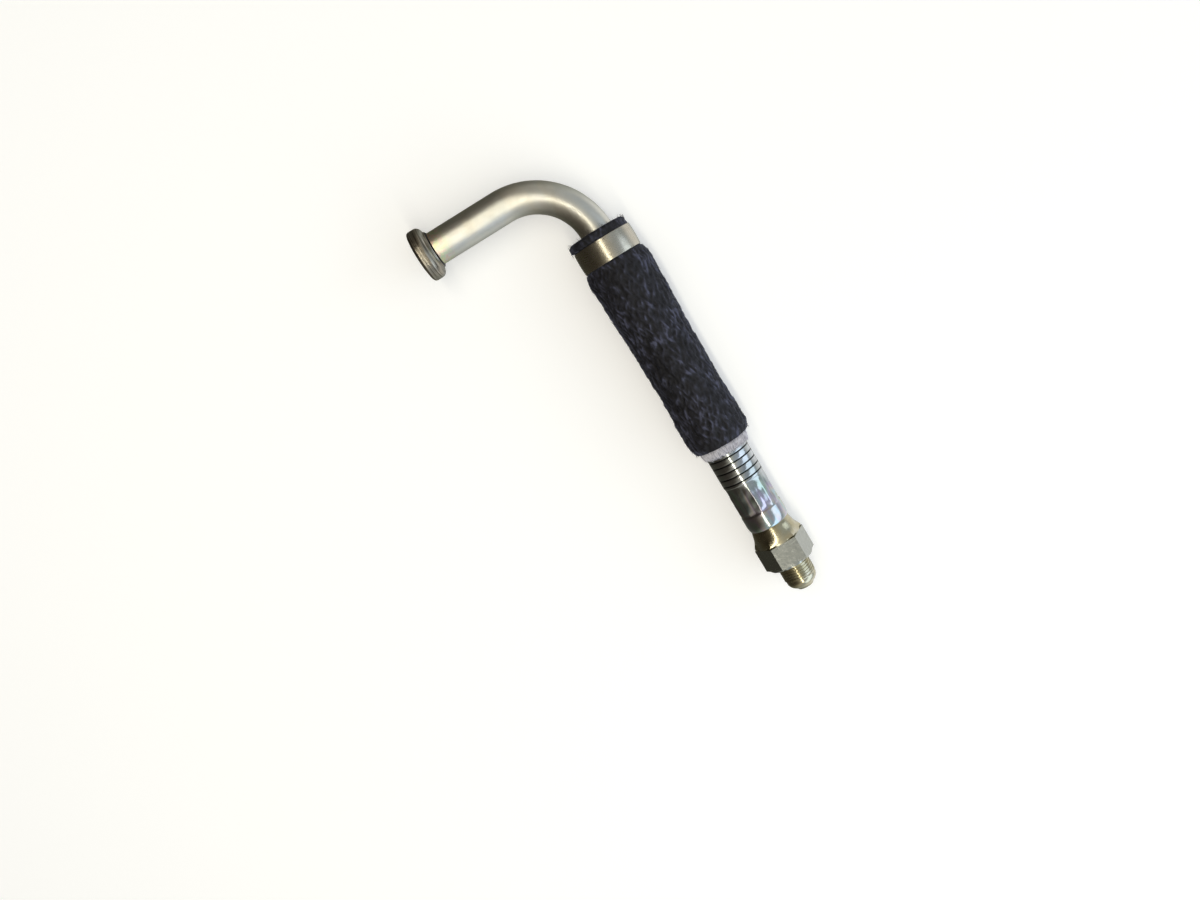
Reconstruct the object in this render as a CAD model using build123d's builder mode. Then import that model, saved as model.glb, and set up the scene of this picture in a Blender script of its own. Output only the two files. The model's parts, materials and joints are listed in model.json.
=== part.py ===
"""Hydraulic hose assembly: a short wire-braided hose in a heat sleeve, with a bent pipe that
ends in a flange head on one side and a fixed male stud fitting on the other.

Frame: millimetres, +Z up, the assembly lying flat.  The hose runs along +X towards the
threaded stud and the pipe leg turns to -Y.  The origin is the centre of the bounding box's
bottom face.  Hose stations are distances along the hose from the mouth of the sleeve.
"""
import os
from math import cos, radians, sin, tan

from build123d import *

# ---- driving dimensions -------------------------------------------------------------------
# bent pipe, 3/4 inch tube
pipe_r = 9.525
pipe_wall = 1.65
bend_r = 38.1
corner_to_mouth = 37.7
leg_length = 90.4

# flange head, half-inch size
head_r = 15.1
head_thick = 8.1
head_chamfer = 1.2
head_back_round = 3.4
hub_r = 11.0
hub_length = 1.2
hub_countersink = 1.2
socket_shoulder = 4.0
socket_gap = 0.05
braze_gap = 0.03
braze_fillet = 1.1
oring_r = 1.765
oring_mid_r = 11.15
oring_proud = 0.4

# half-inch hose, two wire braids: outer radius of each layer from the bore outwards
hose_bore_r = 6.5
hose_layers = (
    ("hose_liner", 8.05),
    ("inner_wire_braid", 8.6),
    ("hose_mid_rubber", 8.8),
    ("outer_wire_braid", 9.4),
    ("hose_cover", 10.7),
)
layer_gap = 0.02

# crimped ferrules, one at each end of the hose
ferrule_length = 50.2
ferrule_r = 12.5
ferrule_bore_r = 10.76
crimp_r = 12.2
dome_length = 5.0
dome_end_r = 11.3
lip_length = 3.5
lip_bore_r = 8.3
crimp_from = 10.8
crimp_to = 29.7
groove_count = 5
groove_pitch = 3.95
groove_width = 0.7
groove_depth = 0.45
first_groove = 31.35

# barbed tails of the stem and of the insert
tail_bore_r = 4.8
tail_end = 46.0
barb_root_r = 5.95
barb_crest_r = 6.4
barb_count = 7
barb_pitch = 5.0
lock_groove_r = 8.2
lock_collar_r = 9.3
lock_collar_end = 6.2
hose_end_gap = 0.4

# stations along the hose
ferrule_a_closed = 12.2
ferrule_b_closed = 191.2

# heat sleeve: outer outline as (station, radius), glass liner inside
sleeve_outline = (
    (0.0, 16.2), (1.4, 17.4), (4.2, 17.4), (5.0, 16.8), (18.0, 16.8), (19.0, 17.9), (26.0, 19.1),
    (40.0, 18.5), (70.0, 17.5), (105.0, 17.3), (126.0, 18.2), (132.0, 18.1), (136.0, 16.4),
)
glass_bore_r = 12.72
glass_r = 14.9
textile_gap = 0.05
fringe_r = 13.3
glass_start = 1.0
glass_taper = 130.0
glass_end = 143.2

# sleeve band
band_start = 5.0
band_width = 13.0
band_thick = 0.6
band_gap = 0.03
band_crown = 0.25

# insert: neck, hexagon and 3/4-16 stud with a 37 degree nose
neck_r = 11.6
neck_start = 191.4
flare_r = 12.9
flare_start = 196.7
hex_start = 201.8
hex_flats = 27.0
hex_end = 216.9
stud_r = 9.525
nose_start = 229.6
nose_r = 8.6
stud_end = 234.0

# ---- frame ----------------------------------------------------------------------------------
widest_r = max(radius for _, radius in sleeve_outline)
low_x = -corner_to_mouth - head_r
low_y = -leg_length - oring_proud
mouth = Vector(-(low_x + stud_end) / 2, -(low_y + widest_r) / 2, widest_r)
corner = mouth + Vector(-corner_to_mouth, 0, 0)

# hose plane: local x runs along the hose, local y is the radius
hose_plane = Plane(origin=mouth, x_dir=(1, 0, 0), z_dir=(0, 0, 1))
hose_axis = Axis(mouth, (1, 0, 0))
# leg plane: local x runs along the leg towards the flange, local y is the radius
leg_plane = Plane(origin=corner, x_dir=(0, -1, 0), z_dir=(0, 0, 1))
leg_axis = Axis(corner, (0, -1, 0))


def hose_section(station):
    """Plane across the hose at a station, facing the stud."""
    return Plane(origin=mouth + Vector(station, 0, 0), z_dir=(1, 0, 0))


def save(piece, name):
    """Label one finished piece and write its STEP file."""
    piece.part.label = name
    export_step(piece.part, f"parts/{name}.step")


os.makedirs("parts", exist_ok=True)

# ---- bent pipe ------------------------------------------------------------------------------
pipe_bore_r = pipe_r - pipe_wall
pipe_end = ferrule_a_closed - lip_length + 1.0
socket_end = leg_length - socket_shoulder

with BuildPart() as bent_pipe:
    with BuildLine(hose_plane) as pipe_path:
        Polyline((-corner_to_mouth, -socket_end), (-corner_to_mouth, 0), (pipe_end, 0))
        fillet(pipe_path.vertices().group_by(Axis.Y)[-1].sort_by(Axis.X)[0], bend_r)
    with BuildSketch(Plane(origin=corner + Vector(0, -socket_end, 0), z_dir=(0, 1, 0))):
        Circle(pipe_r)
        Circle(pipe_bore_r, mode=Mode.SUBTRACT)
    sweep(path=pipe_path.wires()[0])
save(bent_pipe, "bent_pipe")

# ---- flange head ----------------------------------------------------------------------------
back_face = leg_length - head_thick
hub_end = back_face - hub_length
oring_seat = leg_length + oring_proud - 2 * oring_r - 0.02

with BuildPart() as flange_head:
    with BuildSketch(leg_plane):
        with BuildLine():
            rim_back = (back_face + head_back_round, head_r)
            Polyline(
                (leg_length, pipe_bore_r),
                (leg_length, head_r - head_chamfer),
                (leg_length - head_chamfer, head_r),
                rim_back,
            )
            RadiusArc(rim_back, (back_face, head_r - head_back_round), -head_back_round)
            Polyline(
                (back_face, head_r - head_back_round),
                (hub_end, hub_r),
                (hub_end, pipe_r + socket_gap + hub_countersink),
                (hub_end + hub_countersink, pipe_r + socket_gap),
                (socket_end + socket_gap, pipe_r + socket_gap),
                (socket_end + socket_gap, pipe_bore_r),
                (leg_length, pipe_bore_r),
            )
        make_face()
    revolve(axis=leg_axis)
    with BuildSketch(leg_plane):
        with Locations(((oring_seat + leg_length) / 2, oring_mid_r)):
            Rectangle(leg_length - oring_seat, 2 * oring_r + 0.1)
    revolve(axis=leg_axis, mode=Mode.SUBTRACT)
save(flange_head, "flange_head")

with BuildPart() as flange_braze_ring:
    with BuildSketch(leg_plane):
        with BuildLine():
            ring_r = pipe_r + braze_gap
            Polyline(
                (hub_end + hub_countersink - 0.1, ring_r),
                (hub_end + socket_gap, ring_r + hub_countersink - 0.15),
                (hub_end - 0.35, ring_r + 0.5),
                (hub_end - 0.7, ring_r),
                close=True,
            )
        make_face()
    revolve(axis=leg_axis)
save(flange_braze_ring, "flange_braze_ring")

with BuildPart() as flange_oring:
    with BuildSketch(leg_plane):
        with Locations((leg_length + oring_proud - oring_r, oring_mid_r)):
            Circle(oring_r)
    revolve(axis=leg_axis)
save(flange_oring, "flange_oring")


def tail_points(closed, way):
    """Outline of a barbed tail, from its lock groove to its tip.

    closed is the station of the ferrule's closed end and way is +1 or -1, the sense in which
    the tail runs into the hose.
    """
    points = [
        (closed - way * 0.1, lock_groove_r),
        (closed + way * (lip_length + 0.1), lock_groove_r),
        (closed + way * (lip_length + 0.1), lock_collar_r),
        (closed + way * lock_collar_end, lock_collar_r),
        (closed + way * lock_collar_end, barb_root_r),
    ]
    first_barb = tail_end - barb_count * barb_pitch
    for barb in range(barb_count):
        start = first_barb + barb * barb_pitch
        points.append((closed + way * start, barb_crest_r))
        points.append((closed + way * (start + barb_pitch - 0.8), barb_root_r))
    points.append((closed + way * tail_end, barb_root_r - 0.4))
    points.append((closed + way * tail_end, tail_bore_r))
    return points


# ---- stem that joins the pipe to the hose ---------------------------------------------------
stem_start = 1.6
stem_socket_r = 11.6

with BuildPart() as pipe_hose_stem:
    with BuildSketch(hose_plane):
        with BuildLine():
            Polyline(
                (stem_start, pipe_r + socket_gap),
                (stem_start, stem_socket_r - 0.8),
                (stem_start + 0.8, stem_socket_r),
                (ferrule_a_closed - 0.1, stem_socket_r),
                *tail_points(ferrule_a_closed, 1),
                (pipe_end + socket_gap, tail_bore_r),
                (pipe_end + socket_gap, pipe_r + socket_gap),
                close=True,
            )
        make_face()
    revolve(axis=hose_axis)
save(pipe_hose_stem, "pipe_hose_stem")

with BuildPart() as stem_braze_ring:
    with BuildSketch(hose_plane):
        with BuildLine():
            Polyline(
                (stem_start - socket_gap, pipe_r + braze_gap),
                (stem_start - socket_gap, pipe_r + braze_fillet),
                (stem_start - braze_fillet, pipe_r + braze_gap),
                close=True,
            )
        make_face()
    revolve(axis=hose_axis)
save(stem_braze_ring, "stem_braze_ring")


# ---- crimped ferrules -----------------------------------------------------------------------
def ferrule_points(closed, way):
    """Outline of a ferrule: closed end with its lip, crimped zone and ribbed mouth."""
    points = [
        (0.0, lip_bore_r),
        *((dome_length * (1 - cos(radians(a))), dome_end_r + (ferrule_r - dome_end_r) * sin(radians(a)))
          for a in range(0, 91, 15)),
        (crimp_from - 0.8, ferrule_r),
        (crimp_from, crimp_r),
        (crimp_to, crimp_r),
        (crimp_to + 0.3, ferrule_r),
    ]
    for groove in range(groove_count):
        start = first_groove + groove * groove_pitch
        points += [
            (start, ferrule_r),
            (start + 0.15, ferrule_r - groove_depth),
            (start + groove_width - 0.15, ferrule_r - groove_depth),
            (start + groove_width, ferrule_r),
        ]
    points += [
        (ferrule_length - 0.4, ferrule_r),
        (ferrule_length, ferrule_r - 0.4),
        (ferrule_length, ferrule_bore_r + 0.5),
        (ferrule_length - 0.9, ferrule_bore_r),
        (lip_length, ferrule_bore_r),
        (lip_length, lip_bore_r),
    ]
    return [(closed + way * along, radius) for along, radius in points]


for ferrule_name, closed_end, side in (
    ("pipe_end_ferrule", ferrule_a_closed, 1),
    ("fitting_ferrule", ferrule_b_closed, -1),
):
    with BuildPart() as ferrule:
        with BuildSketch(hose_plane):
            with BuildLine():
                Polyline(*ferrule_points(closed_end, side), close=True)
            make_face()
        revolve(axis=hose_axis)
    save(ferrule, ferrule_name)

# ---- hose layers ----------------------------------------------------------------------------
hose_start = ferrule_a_closed + lock_collar_end + hose_end_gap
hose_stop = ferrule_b_closed - lock_collar_end - hose_end_gap

layer_bore = hose_bore_r
for layer_name, layer_r in hose_layers:
    with BuildPart() as layer:
        with BuildSketch(hose_section(hose_start)):
            Circle(layer_r)
            Circle(layer_bore, mode=Mode.SUBTRACT)
        extrude(amount=hose_stop - hose_start)
    save(layer, layer_name)
    layer_bore = layer_r + layer_gap

# ---- heat sleeve ----------------------------------------------------------------------------
jacket_end = sleeve_outline[-1][0]

with BuildPart() as sleeve_glass_liner:
    with BuildSketch(hose_plane):
        with BuildLine():
            Polyline(
                (glass_start, glass_bore_r),
                (glass_start, glass_r),
                (glass_taper, glass_r),
                (jacket_end, fringe_r),
                (glass_end, fringe_r - 0.2),
                (glass_end, glass_bore_r),
                close=True,
            )
        make_face()
    revolve(axis=hose_axis)
save(sleeve_glass_liner, "sleeve_glass_liner")

jacket_bore_r = glass_r + textile_gap
with BuildPart() as sleeve_jacket:
    with BuildSketch(hose_plane):
        with BuildLine():
            Polyline(
                (0.0, jacket_bore_r),
                *sleeve_outline,
                (jacket_end, fringe_r + textile_gap),
                (glass_taper, jacket_bore_r),
                close=True,
            )
        make_face()
    revolve(axis=hose_axis)
save(sleeve_jacket, "sleeve_jacket")

# ---- sleeve band ----------------------------------------------------------------------------
band_bore_r = sleeve_outline[3][1] + band_gap
band_end = band_start + band_width
band_mid = band_start + band_width / 2

with BuildPart() as sleeve_band:
    with BuildSketch(hose_plane):
        with BuildLine():
            edge_r = band_bore_r + band_thick
            Line((band_start + 0.1, band_bore_r), (band_start + 0.1, edge_r))
            ThreePointArc(
                (band_start + 0.1, edge_r), (band_mid, edge_r + band_crown), (band_end - 0.1, edge_r)
            )
            Polyline(
                (band_end - 0.1, edge_r),
                (band_end - 0.1, band_bore_r),
                (band_start + 0.1, band_bore_r),
            )
        make_face()
    revolve(axis=hose_axis)
save(sleeve_band, "sleeve_band")

# ---- stud fitting ---------------------------------------------------------------------------
flat_r = hex_flats / 2
corner_r = flat_r / cos(radians(30))
chamfer_low_r = flat_r - 0.1
chamfer_start = hex_end - (corner_r - chamfer_low_r) * tan(radians(30))
thread_end = nose_start - 0.9

with BuildPart() as fitting_insert:
    # hexagon, one flat up, its corners chamfered at the stud
    with BuildSketch(hose_section(hex_start)):
        RegularPolygon(radius=flat_r, side_count=6, major_radius=False, rotation=30)
    extrude(amount=hex_end - hex_start)
    with BuildSketch(hose_plane):
        with BuildLine():
            Polyline(
                (hex_start, 0),
                (hex_start, corner_r + 0.1),
                (chamfer_start, corner_r + 0.1),
                (chamfer_start, corner_r),
                (hex_end, chamfer_low_r),
                (hex_end, 0),
                close=True,
            )
        make_face()
    revolve(axis=hose_axis, mode=Mode.INTERSECT)
    # flare from the round neck to the hexagon
    with BuildSketch(hose_section(flare_start)):
        Circle(flare_r)
    with BuildSketch(hose_section(hex_start)):
        RegularPolygon(radius=flat_r, side_count=6, major_radius=False, rotation=30)
    loft()
    # turned body: barbed tail, neck and stud
    with BuildSketch(hose_plane):
        with BuildLine():
            Polyline(
                (flare_start, tail_bore_r),
                (flare_start, flare_r),
                (neck_start, neck_r),
                (neck_start, lock_groove_r),
                *tail_points(ferrule_b_closed, -1)[1:],
                close=True,
            )
        make_face()
    revolve(axis=hose_axis)
    with BuildSketch(hose_plane):
        with BuildLine():
            Polyline(
                (hex_end, tail_bore_r),
                (hex_end, stud_r),
                (thread_end, stud_r),
                (nose_start, nose_r),
                (stud_end - 0.5, nose_r - (stud_end - 0.5 - nose_start) * tan(radians(37))),
                (stud_end, tail_bore_r + 0.1),
                (stud_end, tail_bore_r),
                close=True,
            )
        make_face()
    revolve(axis=hose_axis)
    with BuildSketch(hose_section(neck_start)):
        Circle(tail_bore_r)
    extrude(amount=stud_end - neck_start, mode=Mode.SUBTRACT)
save(fitting_insert, "fitting_insert")
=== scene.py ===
import json
import math
from random import Random

import bpy
from bpy.props import FloatProperty, FloatVectorProperty, IntProperty, PointerProperty
from bpy.types import Operator, Panel, PropertyGroup
from mathutils import Matrix, Vector, noise as turbulence


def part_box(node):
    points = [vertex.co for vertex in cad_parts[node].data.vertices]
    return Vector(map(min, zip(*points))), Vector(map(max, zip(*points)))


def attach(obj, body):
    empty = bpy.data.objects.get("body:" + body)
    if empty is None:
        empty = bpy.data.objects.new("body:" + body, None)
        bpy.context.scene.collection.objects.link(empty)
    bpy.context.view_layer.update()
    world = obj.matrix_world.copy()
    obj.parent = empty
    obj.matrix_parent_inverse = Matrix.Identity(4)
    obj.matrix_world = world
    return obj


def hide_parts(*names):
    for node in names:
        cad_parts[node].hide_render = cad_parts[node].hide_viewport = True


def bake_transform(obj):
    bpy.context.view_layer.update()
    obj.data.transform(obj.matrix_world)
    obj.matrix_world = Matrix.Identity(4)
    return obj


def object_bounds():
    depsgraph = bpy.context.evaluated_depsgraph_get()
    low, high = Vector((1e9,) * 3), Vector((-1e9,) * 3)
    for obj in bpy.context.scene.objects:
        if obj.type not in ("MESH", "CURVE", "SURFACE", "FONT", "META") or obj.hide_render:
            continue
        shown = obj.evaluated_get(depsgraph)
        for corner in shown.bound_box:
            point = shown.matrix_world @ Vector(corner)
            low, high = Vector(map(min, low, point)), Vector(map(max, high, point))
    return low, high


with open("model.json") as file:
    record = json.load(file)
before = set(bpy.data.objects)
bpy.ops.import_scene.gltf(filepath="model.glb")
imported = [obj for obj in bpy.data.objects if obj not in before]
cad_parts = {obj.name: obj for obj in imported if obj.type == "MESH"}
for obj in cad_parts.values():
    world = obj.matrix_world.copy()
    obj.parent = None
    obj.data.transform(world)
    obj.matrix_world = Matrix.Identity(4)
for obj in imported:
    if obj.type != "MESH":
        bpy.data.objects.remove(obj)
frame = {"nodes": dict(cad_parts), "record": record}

bl_info = {
    "name": "Hydraulic hose assembly",
    "version": (1, 0, 0),
    "blender": (4, 5, 0),
    "location": "View3D > Sidebar > Hose",
    "description": "Builds a sleeved hydraulic hose with a bent pipe and a stud fitting",
    "category": "Object",
}

# ---- what the frame says ------------------------------------------------------------------
CAD_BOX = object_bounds()
MM = 0.001
PIPE_BODY, FITTING_BODY = "pipe_end", "fitting_end"
MOUNTS = {mount["name"]: mount for mount in frame["record"]["mounts"]}


def corners_of(node):
    """The low and high corners of a CAD node's box."""
    return [Vector(corner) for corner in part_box(node)]


JACKET_LOW, JACKET_HIGH = corners_of("sleeve_jacket")
FERRULE_LOW, FERRULE_HIGH = corners_of("fitting_ferrule")
INSERT_LOW, INSERT_HIGH = corners_of("fitting_insert")
PIPE_LOW, PIPE_HIGH = corners_of("bent_pipe")
HEAD_LOW, HEAD_HIGH = corners_of("flange_head")
BAND_LOW, BAND_HIGH = corners_of("sleeve_band")
GLASS_LOW, GLASS_HIGH = corners_of("sleeve_glass_liner")

# the hose axis runs along +X from the sleeve's mouth, the leg axis along -Y from the corner
MOUTH = Vector((JACKET_LOW.x, (FERRULE_LOW.y + FERRULE_HIGH.y) / 2, (FERRULE_LOW.z + FERRULE_HIGH.z) / 2))
CORNER = Vector(((HEAD_LOW.x + HEAD_HIGH.x) / 2, MOUTH.y, MOUTH.z))
PIPE_RADIUS = (PIPE_HIGH.z - PIPE_LOW.z) / 2

# the fitting's ferrule, measured from its closed end
CRIMP_LENGTH, NOTCH_PLACE = 29.7 * MM, 10.4 * MM
GROOVE_COUNT, FIRST_GROOVE, GROOVE_PITCH = 5, 31.7 * MM, 3.95 * MM


# ---- modelling helpers ----------------------------------------------------------------------
def only(piece):
    """Select one object alone and make it active."""
    bpy.ops.object.select_all(action="DESELECT")
    piece.select_set(True)
    bpy.context.view_layer.objects.active = piece


def settled(name):
    """Name the object just made, and put its place and turn into its mesh."""
    piece = bpy.context.object
    piece.name = piece.data.name = name
    bpy.ops.object.transform_apply(location=True, rotation=True, scale=True)
    return piece


def edit(piece):
    """Open one object in edit mode with nothing selected."""
    only(piece)
    bpy.ops.object.mode_set(mode="EDIT")
    bpy.ops.mesh.select_mode(type="VERT")
    bpy.ops.mesh.select_all(action="DESELECT")


def close_edit():
    """Merge doubles, turn the faces outwards and leave edit mode."""
    bpy.ops.mesh.select_all(action="SELECT")
    bpy.ops.mesh.remove_doubles(threshold=1e-6)
    bpy.ops.mesh.normals_make_consistent(inside=False)
    bpy.ops.object.mode_set(mode="OBJECT")


def ease(share):
    """Smooth step from 0 to 1."""
    share = min(max(share, 0.0), 1.0)
    return share * share * (3 - 2 * share)


def filled(outline, gap):
    """An outline with points added wherever two of them stand further apart than a gap."""
    points = [outline[0]]
    for (s0, r0), (s1, r1) in zip(outline, outline[1:]):
        parts = max(1, math.ceil(math.hypot(s1 - s0, r1 - r0) / gap))
        points += [(s0 + (s1 - s0) * i / parts, r0 + (r1 - r0) * i / parts) for i in range(1, parts + 1)]
    return points


def turn(name, outline, axis="X", segments=96):
    """A turned piece: its outline extruded point by point, then spun round its axis.

    The outline's points are (distance along the axis, radius); the hose axis counts from the
    mouth of the sleeve towards the stud, the leg axis from the corner towards the flange.
    """
    base, way, side = (
        (MOUTH, Vector((1, 0, 0)), Vector((0, 1, 0)))
        if axis == "X" else (CORNER, Vector((0, -1, 0)), Vector((1, 0, 0)))
    )
    places = [base + way * station + side * radius for station, radius in [*outline, outline[0]]]
    bpy.ops.object.select_all(action="DESELECT")
    bpy.ops.mesh.primitive_plane_add(size=MM, location=places[0])
    piece = settled(name)
    edit(piece)
    bpy.ops.mesh.select_all(action="SELECT")
    bpy.ops.mesh.merge(type="CENTER")
    for here, there in zip(places, places[1:]):
        bpy.ops.mesh.extrude_vertices_move(TRANSFORM_OT_translate={"value": tuple(there - here)})
    bpy.ops.mesh.select_all(action="SELECT")
    bpy.ops.mesh.spin(steps=segments, angle=math.tau, center=tuple(base), axis=tuple(way))
    close_edit()
    return piece


def scattered(name, model, places):
    """One mesh of many copies of a small model, each moved by its own matrix."""
    points = [vert.co.copy() for vert in model.data.vertices]
    faces = [tuple(face.vertices) for face in model.data.polygons]
    mesh = bpy.data.meshes.new(name)
    mesh.from_pydata(
        [place @ point for place in places for point in points],
        [],
        [tuple(i + k * len(points) for i in face) for k in range(len(places)) for face in faces],
    )
    piece = bpy.data.objects.new(name, mesh)
    bpy.context.scene.collection.objects.link(piece)
    bpy.data.objects.remove(model, do_unlink=True)
    return piece


def fibre(name, length, width, droop):
    """A thin three-sided fibre along +X from the origin, drooping towards -Z at its tip."""
    bpy.ops.object.select_all(action="DESELECT")
    bpy.ops.mesh.primitive_circle_add(
        vertices=3, radius=width / 2, fill_type="NGON", rotation=(0, math.pi / 2, 0)
    )
    piece = settled(name)
    edit(piece)
    bpy.ops.mesh.select_all(action="SELECT")
    for share, growth in ((0.4, 1.0), (0.8, 0.85), (1.0, 0.25)):
        step = Vector((length * (0.4 if share < 1 else 0.2), 0, -droop * (0.2 if share < 0.5 else 0.4)))
        bpy.ops.mesh.extrude_region_move(TRANSFORM_OT_translate={"value": tuple(step)})
        centre = (length * share, 0, -droop * {0.4: 0.2, 0.8: 0.6, 1.0: 1.0}[share])
        bpy.ops.transform.resize(value=(1, growth, growth), center_override=centre)
    close_edit()
    return piece


def off_axis(vert):
    """A vertex's distance along the hose, and its offset from the hose axis as (y, z)."""
    return vert.co.x - MOUTH.x, Vector((vert.co.y - MOUTH.y, vert.co.z - MOUTH.z))


def put_off_axis(vert, off, shift=0.0):
    """Move a vertex across the hose to an offset from its axis."""
    vert.co.y, vert.co.z = MOUTH.y + off.x + shift, MOUTH.z + off.y


def arc(centre, radius, start, end, steps):
    """Points of an arc in an outline, by angle in degrees from the axis direction."""
    angles = [math.radians(start + (end - start) * i / steps) for i in range(steps + 1)]
    return [(centre[0] + radius * math.cos(a), centre[1] + radius * math.sin(a)) for a in angles]


def finish_with(piece, kind, **settings):
    """Add one modifier with its settings and apply it."""
    only(piece)
    bpy.ops.object.modifier_add(type=kind)
    modifier = piece.modifiers[-1]
    for key, value in settings.items():
        setattr(modifier, key, value)
    bpy.ops.object.modifier_apply(modifier=modifier.name)


def smooth(piece, angle=35):
    """Shade smooth across edges flatter than an angle."""
    only(piece)
    bpy.ops.object.shade_smooth_by_angle(angle=math.radians(angle))


def soften(piece, width, segments=2, angle=25):
    """Round the edges sharper than an angle, then shade the piece smooth."""
    finish_with(
        piece, "BEVEL", width=width, segments=segments, limit_method="ANGLE",
        angle_limit=math.radians(angle), use_clamp_overlap=True, harden_normals=False,
    )
    smooth(piece)
    finish_with(piece, "WEIGHTED_NORMAL", mode="FACE_AREA", weight=100, keep_sharp=True)


def keep_rest_place(piece):
    """Store each vertex's rest place, so that a pattern follows the surface when it bends."""
    rest = piece.data.attributes.new("rest", "FLOAT_VECTOR", "POINT")
    rest.data.foreach_set("vector", [part for vert in piece.data.vertices for part in vert.co])


def bend_with_hose(piece):
    """Put a soft piece's place and turn into its mesh; nothing bends it."""
    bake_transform(piece)


def dress(piece, material, body=None, node=None):
    """Give a finished piece its material slot and body, and hide the CAD node it stands for."""
    piece.data.materials.clear()
    piece.data.materials.append(material)
    if body:
        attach(piece, body)
    if node:
        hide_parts(node)


def paint_node(node, material):
    """Give a CAD node that stays visible its material."""
    shown = frame["nodes"][node]
    for slot in shown.material_slots:
        slot.material = material


def cad_outline(node, base, least):
    """Outer outline of a turned CAD node along the hose: (station, radius) pairs."""
    widest = {}
    for vert in frame["nodes"][node].data.vertices:
        station = round((vert.co.x - base.x) / MM, 2)
        radius = math.hypot(vert.co.y - base.y, vert.co.z - base.z)
        widest[station] = max(widest.get(station, 0), radius)
    return [(s * MM, r) for s, r in sorted(widest.items()) if r > least]


# ---- material helpers -----------------------------------------------------------------------
def linear(code):
    """A colour given as sRGB hex, turned to linear with full alpha."""
    parts = [int(code[i:i + 2], 16) / 255 for i in (1, 3, 5)]
    return [p / 12.92 if p <= 0.04045 else ((p + 0.055) / 1.055) ** 2.4 for p in parts] + [1.0]


def add(tree, kind, inputs=None, **settings):
    """Add one node, set it, and link or set its inputs."""
    made = tree.nodes.new(kind)
    for key, value in settings.items():
        setattr(made, key, value)
    for key, value in (inputs or {}).items():
        if isinstance(value, bpy.types.NodeSocket):
            tree.links.new(value, made.inputs[key])
        else:
            made.inputs[key].default_value = value
    return made


def new_material(name):
    """An empty node material and its tree."""
    material = bpy.data.materials.new(name)
    material.use_nodes = True
    material.node_tree.nodes.clear()
    return material, material.node_tree


def ramp(tree, factor, stops):
    """A colour ramp through (position, sRGB hex) stops."""
    made = add(tree, "ShaderNodeValToRGB", {"Fac": factor})
    elements = made.color_ramp.elements
    while len(elements) < len(stops):
        elements.new(0.5)
    for element, (position, code) in zip(elements, stops):
        element.position = position
        element.color = linear(code)
    return made.outputs["Color"]


def place_of(tree, squeeze=(1, 1, 1)):
    """Object coordinates, squeezed or stretched along the row axes."""
    coordinates = add(tree, "ShaderNodeTexCoord").outputs["Object"]
    return stretched(tree, coordinates, squeeze)


def stretched(tree, place, squeeze):
    """A place squeezed or stretched along the row axes."""
    return add(tree, "ShaderNodeMapping", {"Vector": place, "Scale": squeeze}).outputs["Vector"]


def part_of(tree, place, axis):
    """One coordinate of a place."""
    return add(tree, "ShaderNodeSeparateXYZ", {"Vector": place}).outputs[axis]


def calc(tree, operation, *values):
    """One step of arithmetic."""
    return add(tree, "ShaderNodeMath", dict(enumerate(values)), operation=operation).outputs[0]


def noise(tree, vector, size_mm, detail=3.0, roughness=0.5):
    """Noise whose features are about a size in millimetres."""
    made = add(
        tree, "ShaderNodeTexNoise",
        {"Vector": vector, "Scale": 1 / (size_mm * MM), "Detail": detail, "Roughness": roughness},
    )
    return made.outputs["Fac"]


def spread(tree, value, low, high, from_low=0.3, from_high=0.7):
    """Map a value to a range, and keep it inside."""
    made = add(
        tree, "ShaderNodeMapRange",
        {"Value": value, "From Min": from_low, "From Max": from_high, "To Min": low, "To Max": high},
    )
    return made.outputs["Result"]


def mixed(tree, factor, one, other, blend="MIX"):
    """Mix two colours."""
    made = add(tree, "ShaderNodeMix", data_type="RGBA", blend_type=blend)
    for socket, value in ((made.inputs[0], factor), (made.inputs[6], one), (made.inputs[7], other)):
        if isinstance(value, bpy.types.NodeSocket):
            tree.links.new(value, socket)
        else:
            socket.default_value = value
    return made.outputs[2]


def bumped(tree, height, depth_mm):
    """A bump of a depth in millimetres."""
    inputs = {"Height": height, "Distance": depth_mm * MM, "Strength": 1.0}
    return add(tree, "ShaderNodeBump", inputs).outputs["Normal"]


def surface(tree, inputs):
    """Put a surface with these inputs on the material."""
    shader = add(tree, "ShaderNodeBsdfPrincipled", inputs)
    add(tree, "ShaderNodeOutputMaterial", {"Surface": shader.outputs[0]})


def colour_input(material):
    """The tree of a material, its colour socket and what is linked to it."""
    tree = material.node_tree
    shader = next(node for node in tree.nodes if node.type == "BSDF_PRINCIPLED")
    socket = shader.inputs["Base Color"]
    return tree, socket, socket.links[0].from_socket


def metal(name, tints, rough, grain=(1, 1, 1), grain_mm=0.25, grain_depth=0.004, patch_mm=9.0, film=None):
    """A plated metal: patchy tint, uneven gloss and a fine directional grain."""
    material, tree = new_material(name)
    place = place_of(tree)
    patches = noise(tree, place, patch_mm, 4.0, 0.55)
    colour = ramp(tree, patches, tints)
    if film:
        film_size, film_stops, film_share = film
        bands = noise(tree, place_of(tree, (0.35, 1, 1)), film_size, 2.0, 0.4)
        colour = mixed(tree, film_share, colour, ramp(tree, bands, film_stops))
    fine = noise(tree, place_of(tree, grain), grain_mm, 4.0, 0.6)
    handling = noise(tree, place, 2.2, 5.0, 0.6)
    gloss = calc(tree, "ADD", spread(tree, handling, *rough), spread(tree, fine, -0.04, 0.04))
    surface(tree, {
        "Base Color": colour, "Metallic": 1.0, "Roughness": gloss,
        "Normal": bumped(tree, fine, grain_depth),
    })
    return material


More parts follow.
